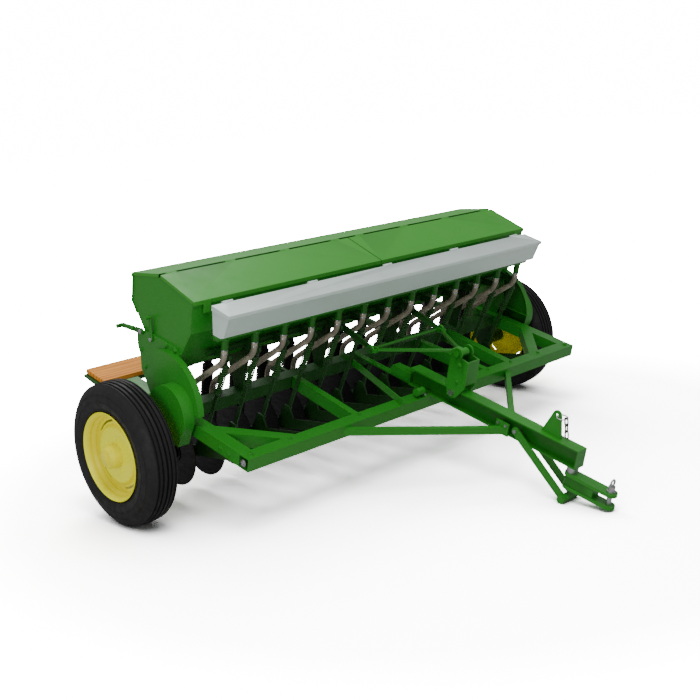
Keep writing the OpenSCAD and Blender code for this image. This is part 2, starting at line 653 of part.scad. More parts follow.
lug_at = [-1365, 405];
lug_hole_r = 9;
lug_r = 23;
ring_r = 22;
ring_flat = 6;                // half length of the straight wire that bears in the lug
ring_wire = 3;
ring_y = lug_at[0] - lug_hole_r + ring_wire - 0.002;
module tongue_lug() difference() {
    flat(-5, 5) {
        polygon([[-1410, tongue_top], [-1298, tongue_top],
            [lug_at[0] + lug_r - 1, lug_at[1] + 4], [lug_at[0] - lug_r + 1, lug_at[1] + 4]]);
        translate(lug_at) circle(r = lug_r);
    }
    xcyl(lug_hole_r, -6, 6, lug_at[0], lug_at[1]);
}
// Brace from the front bar up to a gusset on the side of the tongue
gusset_t = 9;
brace_y = -1106;
brace_foot = [607, -front_reach, bar_bot + 29];
brace_head = [tongue_w / 2 + gusset_t, brace_y, tongue_bot + 18];
module tongue_brace() {
    over = (brace_foot - brace_head) * 0.06;
    difference() {
        strut(brace_foot + over, brace_head - over, 26, 34);
        box(0, rail_out, -front_reach, 0, 0, bar_top + 100);
        box(-tongue_w, tongue_w / 2 + gusset_t, 2 * brace_y, 0, 0, bar_top + 100);
    }
    box(tongue_w / 2, tongue_w / 2 + gusset_t, brace_y - 38, brace_y + 38, tongue_bot - 3, tongue_bot + 62);
}
module tongue_braces() place() color("seagreen") both() tongue_brace();
module brace_bolts() both() for (y = [brace_y - 22, brace_y + 22])
    translate([tongue_w / 2 + gusset_t, y, tongue_bot + 50]) rotate([0, 90, 0]) hexagon(8, 7);
leg_top = [-1184, tongue_bot + 44];
module hitch_legs() place() color("seagreen") both() difference() {
    flat(tongue_w / 2, tongue_w / 2 + 9) wrap2(leg_top, 20, [foot_y, foot_z], foot_r - 1);
    xcyl(foot_r - 6, 0, tongue_w, foot_y, foot_z);
}
module leg_bolts() both()
    translate([tongue_w / 2 + 9, leg_top[0], leg_top[1]]) rotate([0, 90, 0]) hexagon(11, 7);
module frame_bolts() place() color("silver") {
    tongue_bolts();
    brace_bolts();
    leg_bolts();
    lug_ring();
}
module lug_ring() {
    for (y = [ring_y, ring_y - 2 * ring_r]) xcyl(ring_wire, -ring_flat, ring_flat, y, lug_at[1]);
    for (s = [0, 180]) translate([0, ring_y - ring_r, lug_at[1]]) rotate([0, 0, s])
        translate([ring_flat, 0, 0]) rotate([0, 0, -90]) rotate_extrude(angle = 180)
            translate([ring_r, 0]) circle(r = ring_wire);
}
module hitch_foot() place() color("darkseagreen") {
    xcyl(foot_r - 6, -tongue_w / 2 - 9, tongue_w / 2 + 9, foot_y, foot_z);
    both() xcyl(foot_r, tongue_w / 2 + 9, tongue_w / 2 + 26, foot_y, foot_z);
    xcyl(foot_r, -tongue_w / 2, tongue_w / 2, foot_y, foot_z);
}
swivel_r = 12;
module swivel_pin() place() color("silver") {
    zcyl(swivel_r, jaw_bot - 12, jaw_top + face_gap, 0, swivel_y);
    zcyl(27, jaw_top + face_gap, tongue_bot, 0, swivel_y);
    translate([0, swivel_y, jaw_bot - 12]) hexagon(19, 11.5);
}
pin_y = jaw_front + 32;
module clevis() place() color("seagreen") difference() {
    union() {
        for (z = [jaw_bot, jaw_top - jaw_t]) {
            zcyl(jaw_half, z, z + jaw_t, 0, swivel_y);
            box(-jaw_half, jaw_half, pin_y, swivel_y, z, z + jaw_t);
            zcyl(jaw_half, z, z + jaw_t, 0, pin_y);
        }
        zcyl(jaw_half - 4, jaw_bot + jaw_t, jaw_top - jaw_t, 0, swivel_y);
        box(-jaw_half + 4, jaw_half - 4, jaw_front + jaw_depth, swivel_y, jaw_bot + jaw_t, jaw_top - jaw_t);
    }
    zcyl(swivel_r + run_gap, jaw_bot - eps, jaw_top + eps, 0, swivel_y);
    zcyl(hitch_pin_r + run_gap, jaw_bot - eps, jaw_top + eps, 0, pin_y);
}
module hitch_pin() place() color("silver") {
    zcyl(hitch_pin_r, jaw_bot - 6, jaw_top + 32, 0, pin_y);
    zcyl(hitch_pin_r + 9, jaw_top + face_gap, jaw_top + 8, 0, pin_y);
    zcyl(hitch_pin_r + 4, jaw_top + 8, jaw_top + 30, 0, pin_y);
    translate([0, pin_y, jaw_top + 46]) rotate([90, 0, 0]) rotate_extrude() translate([15, 0]) circle(r = 5);
}
module roller_knob() place() color("green") {
    zcyl(8, bar_top, bar_top + 16, -90, -612);
    xcyl(20, -116, -64, -612, bar_top + 30);
}
// Links hang plumb from the ring in the tongue lug
link_r = 3.5;
link_pitch = 30.2;
chain_y = ring_y - 2 * ring_r;
module link() {
    for (s = [0, 180]) rotate([0, s, 0]) translate([0, 0, 11])
        rotate([90, 0, 0]) rotate_extrude(angle = 180) translate([8, 0]) circle(r = link_r);
    for (x = [-8, 8]) translate([x, 0, -11]) cylinder(r = link_r, h = 22);
}
module safety_chain() color("silver") translate([0, y_shift, wheel_r])
    translate([0, chain_y * cos(nose_down) - lug_at[1] * sin(nose_down),
        chain_y * sin(nose_down) + lug_at[1] * cos(nose_down)])
    for (i = [0 : 2]) translate([0, 0, -12.1 - i * link_pitch]) rotate([0, 0, (i + 1) % 2 * 90]) link();

// ---- Levers, footboard ----
module feed_lever() place() color("green") mirror([1, 0, 0]) {
    difference() {
        flat(guard_x + 1, guard_x + 9) wrap2([202, 492], 14, [355, 468], 9);
        xcyl(7 + run_gap, guard_x, guard_x + 10, 202, 492);
    }
    xcyl(11, guard_x + 9, guard_x + 40, 355, 468);
    difference() {
        xcyl(16, guard_x + 1, guard_x + 12, 202, 492);
        xcyl(7 + run_gap, guard_x, guard_x + 13, 202, 492);
    }
}
module lever_pivots() place() color("silver") mirror([1, 0, 0]) {
    crank_pivot();
    xcyl(7, guard_x, guard_x + 13, 202, 492);
    xcyl(12, guard_x + 12.5, guard_x + 17, 202, 492);
}
module hook_crank() place() color("green") mirror([1, 0, 0]) {
    difference() {
        flat(guard_x + 1, guard_x + 7) wrap2([125, 478], 12, [140, 585], 7);
        xcyl(6 + run_gap, guard_x, guard_x + 8, 125, 478);
    }
    xcyl(7, guard_x + 7, guard_x + 30, 140, 585);
}
module crank_pivot() {
    xcyl(6, guard_x, guard_x + 8, 125, 478);
    xcyl(10, guard_x + 7.5, guard_x + 12, 125, 478);
}
module footboard() place() color("peru") box(-box_half, box_half, board_y0, board_y1, board_z - board_t, board_z);
module board_angle() place() color("darkgreen") board_irons();
module board_irons() {
    for (y = [board_y0 + 10, board_y1 - 40])
        box(-box_half, box_half, y, y + 30, board_z - board_t - 4, board_z - board_t);
    box(-box_half, box_half, board_y0 + 10, board_y0 + 14, board_z - board_t - 30, board_z - board_t - 4);
}
module board_rail_arm() slab(rail_in + 8, rail_out - 8, [
    [240, bar_bot], [300, bar_bot], [board_y0 + 40, board_z - board_t - 4], [board_y1 - 2, board_z - board_t - 4],
    [board_y1 - 2, board_z - board_t - 16], [board_y0 + 34, board_z - board_t - 22], [250, bar_bot - 34]]);
module board_mid_arm() slab(2.5 * row_pitch - 10, 2.5 * row_pitch + 10, [
    [cross_y1, 190], [board_y0 - 30, 190], [board_y0 - 4, 166], [board_y0 - 4, board_z - board_t - 26],
    [board_y0 - 36, board_z - board_t - 26], [board_y0 - 36, 148], [cross_y1, 148]]);
module board_arms() place() color("darkgreen") both() {
    difference() {
        board_rail_arm();
        board_irons();
        box(-box_half, box_half, board_y0, board_y1, board_z - board_t, board_z);
    }
    board_mid_arm();
    box(2.5 * row_pitch - 10, 2.5 * row_pitch + 10, board_y0 - 4, board_y0 + 10,
        board_z - board_t - 26, board_z - board_t - 6);
}

// ---- Wheels ----
module tyre() translate([wheel_mid, 0, 0]) rotate([0, 90, 0]) rotate_extrude($fn = 96) difference() {
    hw = wheel_w / 2;
    union() {
        polygon([
            [rim_r - 6, -hw + 26], [rim_r + 10, -hw + 8], [rim_r + 34, -hw], [wheel_r - 70, -hw], [wheel_r - 30, -hw + 8],
            [wheel_r - 8, -hw + 30], [wheel_r, -hw + 52], [wheel_r, hw - 52], [wheel_r - 8, hw - 30],
            [wheel_r - 30, hw - 8], [wheel_r - 70, hw], [rim_r + 34, hw], [rim_r + 10, hw - 8], [rim_r - 6, hw - 26]]);
    }
    polygon([[rim_r - 7, -hw + 40], [rim_r + 16, -hw + 26], [wheel_r - 40, -hw + 22], [wheel_r - 24, -hw + 50],
        [wheel_r - 24, hw - 50], [wheel_r - 40, hw - 22], [rim_r + 16, hw - 26], [rim_r - 7, hw - 40]]);
    for (x = [-36, -12, 12, 36]) translate([wheel_r - 9, x - 3]) square([10, 6]);
}
module tyre_left() place() color("dimgray") mirror([1, 0, 0]) tyre();
module tyre_right() place() color("dimgray") tyre();
dish_x = 22;                  // plane of the wheel disc outboard of the wheel middle
module rim() translate([wheel_mid, 0, 0]) rotate([0, 90, 0]) difference() {
    hw = wheel_w / 2;
    rotate_extrude($fn = 96) polygon([
        [rim_r - 6, -hw + 26], [rim_r - 6, -hw + 40], [rim_r - 18, -hw + 52], [rim_r - 18, hw - 52],
        [rim_r - 6, hw - 40], [rim_r - 6, hw - 26], [rim_r + 8, hw - 6.5], [rim_r + 5, hw - 3], [rim_r - 12, hw - 26],
        [rim_r - 12, hw - 38], [rim_r - 24, hw - 50], [rim_r - 24, dish_x + 8], [rim_r - 60, dish_x + 8],
        [rim_r - 74, dish_x + 22], [58, dish_x + 22], [58, dish_x + 14], [rim_r - 78, dish_x + 14],
        [rim_r - 62, dish_x], [rim_r - 24, dish_x], [rim_r - 24, -hw + 50], [rim_r - 12, -hw + 38],
        [rim_r - 12, -hw + 26], [rim_r + 5, -hw + 3], [rim_r + 8, -hw + 6.5]]);
    for (k = [0 : 3]) rotate([0, 0, k * 90 + 20]) translate([0, 0, dish_x - eps])
        rotate_extrude(angle = 48) translate([rim_r - 50, 0]) square([11, 12]);
}
module rim_left() place() color("yellow") mirror([1, 0, 0]) rim();
module rim_right() place() color("yellow") rim();
module hub() translate([wheel_mid, 0, 0]) rotate([0, 90, 0]) {
    difference() {
        rotate_extrude() polygon([
            [spindle_r, -60.5], [50, -60.5], [50, dish_x - 6], [92, dish_x - 6], [92, dish_x + 14], [58, dish_x + 14],
            [58, dish_x + 22], [58, 61.5], [spindle_r, 61.5]]);
        translate([0, 0, -61]) cylinder(r = spindle_r + run_gap, h = 124);
    }
    rotate_extrude() polygon([[50, 61.5], [58, 61.5], [56, 84], [44, 100], [16, 108], [0, 109], [0, 104],
        [14, 103], [40, 95], [50, 82]]);
}
module hub_left() place() mirror([1, 0, 0]) { color("yellow") hub(); color("gold") bolts(); }
module hub_right() place() { color("yellow") hub(); color("gold") bolts(); }
module bolts() for (k = [0 : wheel_bolts - 1]) rotate([k * 360 / wheel_bolts, 0, 0])
    translate([wheel_mid + dish_x + 22, 0, 76]) rotate([0, 90, 0]) hexagon(8, 8);

front_bar();
rail_left();
rail_right();
rear_cross();
corner_braces();
long_braces();
angle_brace();
axle_left();
axle_right();
end_plates();
hopper_shell();
end_panels();
rear_deck();
hinge_pins();
lid_left();
lid_right();
hopper_supports();
feed_cups();
feed_shaft();
grain_tubes();
grass_shell();
grass_hinges();
grass_lid();
grass_brackets();
nozzles();
seed_tubes();
big_shields();
small_shields();
drag_brackets();
drag_rod();
opener_arms();
opener_boots();
disc_blades();
press_rods();
rockshaft();
lift_yoke();
mast();
mast_bolt();
tongue();
tongue_braces();
hitch_legs();
frame_bolts();
hitch_foot();
swivel_pin();
clevis();
hitch_pin();
roller_knob();
safety_chain();
feed_lever();
lever_pivots();
hook_crank();
footboard();
board_angle();
board_arms();
tyre_left();
tyre_right();
rim_left();
rim_right();
hub_left();
hub_right();
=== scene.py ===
import bpy, bmesh, math, random
from mathutils import Matrix, Vector


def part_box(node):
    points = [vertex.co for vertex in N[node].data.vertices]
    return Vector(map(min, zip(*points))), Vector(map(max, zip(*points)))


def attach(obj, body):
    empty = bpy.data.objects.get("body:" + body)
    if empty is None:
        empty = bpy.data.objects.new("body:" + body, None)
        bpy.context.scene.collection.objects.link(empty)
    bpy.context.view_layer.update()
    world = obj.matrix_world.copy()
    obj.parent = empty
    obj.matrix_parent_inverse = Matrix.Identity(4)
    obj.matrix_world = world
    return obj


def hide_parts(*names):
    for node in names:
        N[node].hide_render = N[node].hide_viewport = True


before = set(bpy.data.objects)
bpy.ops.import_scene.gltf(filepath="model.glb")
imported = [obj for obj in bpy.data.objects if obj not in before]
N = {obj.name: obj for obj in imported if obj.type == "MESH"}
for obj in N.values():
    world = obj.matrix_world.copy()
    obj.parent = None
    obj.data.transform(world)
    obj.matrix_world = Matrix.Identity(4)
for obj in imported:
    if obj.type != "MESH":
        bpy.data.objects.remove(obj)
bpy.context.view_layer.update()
random.seed(7)

# The machine is drawn level with the wheel axis at the origin, then pitched onto its hitch foot
WHEEL_R = 0.345
FOOT_Y, FOOT_Z, FOOT_R = -1.505, 0.044, 0.020
TILT = math.asin((WHEEL_R - FOOT_R) / math.hypot(FOOT_Y, FOOT_Z)) + math.atan2(FOOT_Z, -FOOT_Y)
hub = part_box("hub_left")
AXLE = Vector((0, (hub[0][1] + hub[1][1]) / 2, WHEEL_R))
PLACE = Matrix.Translation(AXLE) @ Matrix.Rotation(TILT, 4, "X")
HALF = 1.1858  # middle of the machine to the outer face of an end panel
RAIL_FACE = 1.2088  # middle of the machine to the outer face of a side rail
ROW_COUNT, ROW_PITCH = 13, 0.1778
ROWS = [-1.0668 + i * ROW_PITCH for i in range(ROW_COUNT)]


# ---------- materials ----------
def lin(r, g, b):
    """An 8-bit display colour as linear RGBA."""
    s = [c / 255 for c in (r, g, b)]
    return tuple(c / 12.92 if c <= 0.04045 else ((c + 0.055) / 1.055) ** 2.4 for c in s) + (1,)


def times(col, k, add=0.0):
    """An RGBA colour made darker or lighter, never past white."""
    return tuple(min(1, c * k + add) for c in col[:3]) + (1,)


class Mat:
    def __init__(self, name):
        self.m = bpy.data.materials.new(name)
        self.m.use_nodes = True
        self.t = self.m.node_tree
        self.p = self.t.nodes["Principled BSDF"]
        self.co = self.add("ShaderNodeTexCoord").outputs["Object"]

    def add(self, kind, **kw):
        n = self.t.nodes.new(kind)
        for k, v in kw.items():
            setattr(n, k, v)
        return n

    def link(self, a, b):
        self.t.links.new(a, b)

    def noise(self, scale, detail=4, rough=0.55, stretch=None):
        n = self.add("ShaderNodeTexNoise")
        n.inputs["Scale"].default_value = scale
        n.inputs["Detail"].default_value = detail
        n.inputs["Roughness"].default_value = rough
        src = self.co
        if stretch:
            mp = self.add("ShaderNodeMapping")
            mp.inputs["Scale"].default_value = stretch
            self.link(self.co, mp.inputs["Vector"])
            src = mp.outputs["Vector"]
        self.link(src, n.inputs["Vector"])
        return n.outputs["Fac"]

    def ramp(self, fac, stops):
        r = self.add("ShaderNodeValToRGB")
        e = r.color_ramp.elements
        while len(e) < len(stops):
            e.new(0.5)
        for k, (pos, col) in zip(e, stops):
            k.position = pos
            k.color = col
        self.link(fac, r.inputs["Fac"])
        return r.outputs["Color"]

    def val(self, fac, a, b, lo=0.3, hi=0.7):
        r = self.add("ShaderNodeMapRange")
        for k, v in (("From Min", lo), ("From Max", hi), ("To Min", a), ("To Max", b)):
            r.inputs[k].default_value = v
        self.link(fac, r.inputs["Value"])
        return r.outputs["Result"]

    def mix(self, fac, a, b, mode="MIX"):
        x = self.add("ShaderNodeMix", data_type="RGBA", blend_type=mode)
        for s, v in ((x.inputs[0], fac), (x.inputs[6], a), (x.inputs[7], b)):
            if isinstance(v, (int, float, tuple)):
                s.default_value = v
            else:
                self.link(v, s)
        return x.outputs[2]

    def bump(self, h, strength, dist=0.001):
        b = self.add("ShaderNodeBump")
        b.inputs["Strength"].default_value = strength
        b.inputs["Distance"].default_value = dist
        self.link(h, b.inputs["Height"])
        self.link(b.outputs["Normal"], self.p.inputs["Normal"])

    def edge(self):
        """0 on flat surfaces, up to 1 on sharp outer edges."""
        g = self.add("ShaderNodeNewGeometry")
        return self.val(g.outputs["Pointiness"], 0, 1, 0.51, 0.58)


def paint(name, rgb, rough=0.36, coat=0.06, flake=0.0, dust=0.10):
    """Sprayed enamel: slow tone drift, dust in the orange peel, and a painted highlight along edges."""
    m = Mat(name)
    base = lin(*rgb)
    tones = [(0.30, times(base, 0.80)), (0.52, base), (0.74, times(base, 1.14, 0.001))]
    col = m.ramp(m.noise(1.7, 5), tones)
    col = m.mix(m.val(m.noise(6.5, 7, 0.62), 0, 0.5, 0.56, 0.74), col, times(base, 0.55, 0.012))
    col = m.mix(m.val(m.noise(70, 6, 0.7), 0, dust, 0.62, 0.78), col, lin(112, 112, 90))
    # Painted highlight: sharp outer edges are lightened as if they caught the light.
    col = m.mix(m.edge(), col, times(base, 1.6, 0.006))
    m.link(col, m.p.inputs["Base Color"])
    m.link(m.val(m.noise(9, 6, 0.6), rough - 0.07, rough + 0.12), m.p.inputs["Roughness"])
    m.p.inputs["Specular IOR Level"].default_value = 0.3
    m.p.inputs["Coat Weight"].default_value = coat
    m.p.inputs["Coat Roughness"].default_value = 0.12
    m.p.inputs["Metallic"].default_value = flake
    m.bump(m.noise(260, 2), 0.10, 0.0006)
    return m.m


def metal(name, rgb, rough=0.28, scratch=90):
    """Bare metal with fine scratches drawn out along Y."""
    m = Mat(name)
    base = lin(*rgb)
    col = m.ramp(m.noise(scratch, 6, 0.7, (1, 0.15, 1)), [(0.3, times(base, 0.6)), (0.65, base)])
    m.link(col, m.p.inputs["Base Color"])
    m.p.inputs["Metallic"].default_value = 1
    m.link(m.val(m.noise(scratch * 1.6, 5, 0.6, (1, 0.2, 1)), rough - 0.08, rough + 0.16), m.p.inputs["Roughness"])
    m.bump(m.noise(scratch * 3, 3), 0.08, 0.0005)
    return m.m


def rubber(name, rgb, rough, dust):
    """Matt black stock with pale dust in a fine grain."""
    m = Mat(name)
    base = lin(*rgb)
    col = m.ramp(m.noise(4, 6, 0.6), [(0.3, times(base, 0.72)), (0.7, times(base, 1.25))])
    col = m.mix(m.val(m.noise(38, 8, 0.75), 0, 0.22, 0.5, 0.85), col, lin(*dust))
    m.link(col, m.p.inputs["Base Color"])
    m.link(m.val(m.noise(24, 5), rough - 0.1, rough + 0.14), m.p.inputs["Roughness"])
    m.p.inputs["Specular IOR Level"].default_value = 0.3
    m.bump(m.noise(420, 4, 0.6), 0.22, 0.0007)
    return m.m


def wood(name):
    """Oiled plank, its grain along X."""
    m = Mat(name)
    w = m.add("ShaderNodeTexWave", wave_type="BANDS", bands_direction="Y")
    for k, v in (("Scale", 14), ("Distortion", 9), ("Detail", 5), ("Detail Scale", 1.6)):
        w.inputs[k].default_value = v
    mp = m.add("ShaderNodeMapping")
    mp.inputs["Scale"].default_value = (0.10, 1, 1)
    m.link(m.co, mp.inputs["Vector"])
    m.link(mp.outputs["Vector"], w.inputs["Vector"])
    col = m.ramp(w.outputs["Fac"], [(0.0, lin(206, 122, 34)), (0.45, lin(224, 144, 44)), (1.0, lin(236, 158, 58))])
    pores = m.noise(160, 6, 0.7, (0.03, 1, 1))
    col = m.mix(m.val(pores, 0, 0.45, 0.55, 0.78), col, lin(150, 82, 24))
    m.link(col, m.p.inputs["Base Color"])
    m.link(m.val(pores, 0.5, 0.72), m.p.inputs["Roughness"])
    m.p.inputs["Specular IOR Level"].default_value = 0.2
    m.bump(pores, 0.35, 0.001)
    return m.m


GREEN = paint("green_enamel", (26, 104, 16))
# Painted light: a lighter copy of the body green for the lids and deck, whose upper faces catch the light.
LIT_GREEN = paint("lit_green_lid_enamel", (38, 114, 24), 0.46, 0.0)
# Painted shade: a darker copy of the body green for the parts that sit in shade under the machine.
SHADED_GREEN = paint("shaded_green_enamel", (14, 66, 12), 0.5, 0.0)
SILVER = paint("silver_box_enamel", (174, 188, 182), 0.38, 0.1, 0.25, 0.03)
ARM = paint("opener_enamel", (24, 62, 22), 0.42, 0.04)
SPRING = paint("spring_enamel", (30, 78, 26), 0.34, 0.1)
YELLOW = paint("yellow_enamel", (250, 238, 0), 0.36, 0.03, 0.0, 0.02)
STEEL = metal("bright_steel", (196, 196, 198))
DARK = metal("blade_steel", (44, 44, 46), 0.42, 60)
CHAIN = metal("chain_steel", (128, 126, 120), 0.32, 140)
TUBE = paint("tube_grey", (150, 141, 126), 0.40, 0.1, 0.25)
TYRE = rubber("tyre_rubber", (24, 23, 24), 0.6, (62, 60, 58))
BLACK = rubber("boot_iron", (20, 23, 19), 0.5, (50, 56, 46))
HOSE = rubber("hose_rubber", (27, 26, 25), 0.55, (60, 58, 54))
WOOD = wood("plank_wood")

BY_MATERIAL = [
    (LIT_GREEN, "lid_left lid_right rear_deck"),
    (SHADED_GREEN, "hopper_supports drag_brackets rockshaft rear_cross axle_left axle_right board_angle board_arms"),
    (SILVER, "grass_shell grass_lid grass_hinges"),
    (ARM, "opener_arms press_rods"),
    (YELLOW, "rim_left rim_right hub_left hub_right"),
    (STEEL, "hinge_pins feed_shaft drag_rod mast_bolt frame_bolts swivel_pin hitch_pin lever_pivots"),
    (CHAIN, "safety_chain"),
    (DARK, "disc_blades"),
    (BLACK, "feed_cups opener_boots"),
    (TUBE, "seed_tubes grain_tubes"),
    (WOOD, "footboard"),
    (TYRE, "tyre_left tyre_right"),
]
LOOK = {n: GREEN for n in N}  # every node not listed above is in the body colour
for mat, names in BY_MATERIAL:
    for n in names.split():
        LOOK[n] = mat


def smooth(o, angle=32):
    me = o.data
    me.polygons.foreach_set("use_smooth", [True] * len(me.polygons))
    me.set_sharp_from_angle(angle=math.radians(angle))


def bevel(o, width, seg=2, angle=38):
    b = o.modifiers.new("bevel", "BEVEL")
    b.width = width
    b.segments = seg
    b.limit_method = "ANGLE"
    b.angle_limit = math.radians(angle)
    b.harden_normals = True
    b.use_clamp_overlap = True


# Bevel widths in metres of the nodes with broad edges
WIDE = {"front_bar": 0.004, "rail_left": 0.004, "rail_right": 0.004, "rear_cross": 0.004, "corner_braces": 0.003,
        "long_braces": 0.003, "tongue_braces": 0.004, "footboard": 0.003, "mast": 0.0025, "tongue": 0.002,
        "hitch_legs": 0.002, "clevis": 0.003, "press_rods": 0.0015, "opener_arms": 0.0018, "lift_yoke": 0.002}
UNBEVELLED = ("tyre_left", "tyre_right", "safety_chain", "seed_tubes", "grain_tubes")
FINE = 0.0009  # bevel width of every other node
for n, o in N.items():
    o.data.materials.clear()
    o.data.materials.append(LOOK[n])
    smooth(o)
    if n in WIDE:
        bevel(o, WIDE[n])
    elif n not in UNBEVELLED:
        bevel(o, FINE, 1)


# ---------- piece helpers ----------
AXIAL = 0.0001  # radius that stands for the axis, so that a lathe's faces keep four corners


def make(name, bm, mat, body, angle=32):
    """A mesh drawn level, placed like the CAD and joined to its body."""
    me = bpy.data.meshes.new(name)
    bmesh.ops.recalc_face_normals(bm, faces=bm.faces)
    bm.to_mesh(me)
    bm.free()
    me.transform(PLACE)
    o = bpy.data.objects.new(name, me)
    bpy.context.collection.objects.link(o)
    me.materials.append(mat)
    smooth(o, angle)
    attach(o, body)
    return o


def frame_of(axis):
    """A turn that brings local Z onto axis."""
    return Vector(axis).to_track_quat("Z", "X").to_matrix().to_4x4()


def lathe(bm, prof, place, seg):
    """prof: a closed run of (radius, height) points turned about local Z."""
    rings = []
    for i in range(seg):
        a = 2 * math.pi * i / seg
        c, s = math.cos(a), math.sin(a)
        rings.append([bm.verts.new(place @ Vector((r * c, r * s, h))) for r, h in prof])
    m = len(prof)
    for i in range(seg):
        a, b = rings[i], rings[(i + 1) % seg]
        for j in range(m):
            k = (j + 1) % m
            bm.faces.new((a[j], b[j], b[k], a[k]))


def hexbolt(bm, at, axis, r, h=0.006):
    """Hexagon head with a chamfered crown on a washer."""
    sides = 6
    m = Matrix.Translation(Vector(at)) @ frame_of(axis)
    z0 = r * 0.24
    lathe(bm, [(AXIAL, 0.0), (r * 1.45, 0.0), (r * 1.45, r * 0.18), (r * 1.35, z0), (AXIAL, z0)], m, 20)
    m = m @ Matrix.Rotation(random.uniform(0, 1), 4, "Z")
    prof = [(r * 0.999, z0), (r, z0 + h * 0.8), (r * 0.84, z0 + h), (r * 0.42, z0 + h * 1.06)]
    corners = [math.tau * k / sides for k in range(sides)]
    rings = [[bm.verts.new(m @ Vector((p * math.cos(a), p * math.sin(a), z))) for a in corners] for p, z in prof]
    for a, b in zip(rings, rings[1:]):
        for k in range(sides):
            bm.faces.new((a[k], a[(k + 1) % sides], b[(k + 1) % sides], b[k]))
    bm.faces.new(rings[-1])
    bm.faces.new(rings[0][::-1])


# ---------- tyres ----------
def tyre(side):
    """Ribbed tyre: a sidewall with moulded rings, and a tread with four grooves and a centre rib."""
    R, r0 = WHEEL_R, 0.2025
    # (radius, half width) of the outer half section, from the bead round the sidewall to the tread
    wall = [(r0, 0.062), (r0 + 0.005, 0.069), (r0 + 0.012, 0.0745), (r0 + 0.018, 0.0785),
            (r0 + 0.0185, 0.0812), (r0 + 0.023, 0.0812), (r0 + 0.0235, 0.0800), (r0 + 0.034, 0.0850),
            (r0 + 0.050, 0.0888), (r0 + 0.060, 0.0895), (r0 + 0.0605, 0.0880), (r0 + 0.063, 0.0880),
            (r0 + 0.0635, 0.0893), (r0 + 0.078, 0.0885), (r0 + 0.092, 0.0850), (r0 + 0.0925, 0.0834),
            (r0 + 0.095, 0.0826), (r0 + 0.0955, 0.0838), (r0 + 0.110, 0.0760), (r0 + 0.122, 0.0680),
            (r0 + 0.131, 0.0590), (R - 0.0052, 0.0545)]
    tread = []
    for c in (0.0445, 0.0225):
        crown = c * c * 0.9
        tread += [(R - 0.0035 - crown, c + 0.0050), (R - 0.0115, c + 0.0034), (R - 0.0125, c + 0.0015),
                  (R - 0.0125, c - 0.0015), (R - 0.0115, c - 0.0034), (R - 0.0012 - crown, c - 0.0050)]
    tread += [(R, 0.0055), (R - 0.0110, 0.0034), (R - 0.0120, 0.0012)]
    half = wall + tread
    outer = half + [(r, -h) for r, h in half[::-1]]
    inner = [(r0 + 0.012, -0.050), (R - 0.040, -0.058), (R - 0.026, -0.030),
             (R - 0.026, 0.030), (R - 0.040, 0.058), (r0 + 0.012, 0.050)]
    track = Matrix.Translation((side * 1.4148, 0, 0)) @ Matrix.Rotation(math.pi / 2, 4, "Y")
    bm = bmesh.new()
    lathe(bm, outer + inner, track, 160)
    nm = "left" if side < 0 else "right"
    o = make("tyre_skin_" + nm, bm, TYRE, "wheel_" + nm, angle=50)
    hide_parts("tyre_" + nm)


tyre(-1)
tyre(1)

# ---------- bolts ----------
bm = bmesh.new()
for s in (-1, 1):
    x = s * (HALF + 0.009)
    for y, z in ((0.150, 0.478), (0.215, 0.455), (0.205, 0.395), (0.165, 0.320), (-0.060, 0.492), (0.010, 0.492)):
        if s < 0 and y > 0.1 and z > 0.45:
            continue  # the two hand levers turn on this side
        hexbolt(bm, (x, y, z), (s, 0, 0), 0.0085)
    for y in (-0.50, -0.44, 0.20, 0.27):
        hexbolt(bm, (s * RAIL_FACE, y, 0.168), (s, 0, 0), 0.009)
    for y in (-0.045, 0.045):
        hexbolt(bm, (s * 1.2248, y, 0.030), (s, 0, 0), 0.010)
    hexbolt(bm, (s * 1.17, -0.602, 0.200), (0, 0, 1), 0.010)
for x in (-0.93, 0.93, -0.49, 0.49, 0.685):
    hexbolt(bm, (x, -0.590, 0.200), (0, 0, 1), 0.008)
for x in (-0.608, 0.608):
    hexbolt(bm, (x, -0.636, 0.176), (0, -1, 0), 0.010)
for s in (-1, 1):
    hexbolt(bm, (s * 0.044, -0.800, 0.350), (s, 0, 0), 0.008)
    hexbolt(bm, (s * 0.044, -0.800, 0.440), (s, 0, 0), 0.008)
hb = make("frame_hex_bolts", bm, GREEN, "frame")
bm = bmesh.new()
for s in (-1, 1):
    hexbolt(bm, (s * RAIL_FACE, -0.602, 0.168), (s, 0, 0), 0.012, 0.008)
cb = make("corner_hex_bolts", bm, STEEL, "frame")

# ---------- rivets and folded rims of the seed box ----------
bm = bmesh.new()


def rivet(bm, at, axis, r=0.0055):
    """Domed rivet head."""
    dome = [(AXIAL, 0.0), (r, 0.0), (r * 0.93, r * 0.3), (r * 0.66, r * 0.55), (r * 0.3, r * 0.68), (AXIAL, r * 0.7)]
    lathe(bm, dome, Matrix.Translation(Vector(at)) @ frame_of(axis), 14)


# (y, z) outline of an end panel, and a point well inside it
MID_Y, MID_Z = 0.075, 0.60
sect = [(-0.160, 0.755), (-0.160, 0.608), (-0.060, 0.400), (0.110, 0.400), (0.305, 0.610), (0.305, 0.738)]
for s in (-1, 1):
    for (y0, z0), (y1, z1) in zip(sect, sect[1:]):
        n = max(2, int(math.hypot(y1 - y0, z1 - z0) / 0.055))
        for i in range(n):
            t = (i + 0.5) / n
            y, z = y0 + (y1 - y0) * t, z0 + (z1 - z0) * t
            d = Vector((MID_Y - y, MID_Z - z)).normalized() * 0.012
            if 0.26 < z < 0.515 and -0.07 < y + d[0] < 0.25:
                continue  # the end plate covers this part
            rivet(bm, (s * HALF, y + d[0], z + d[1]), (s, 0, 0))
rv = make("seed_box_rivets", bm, GREEN, "frame")

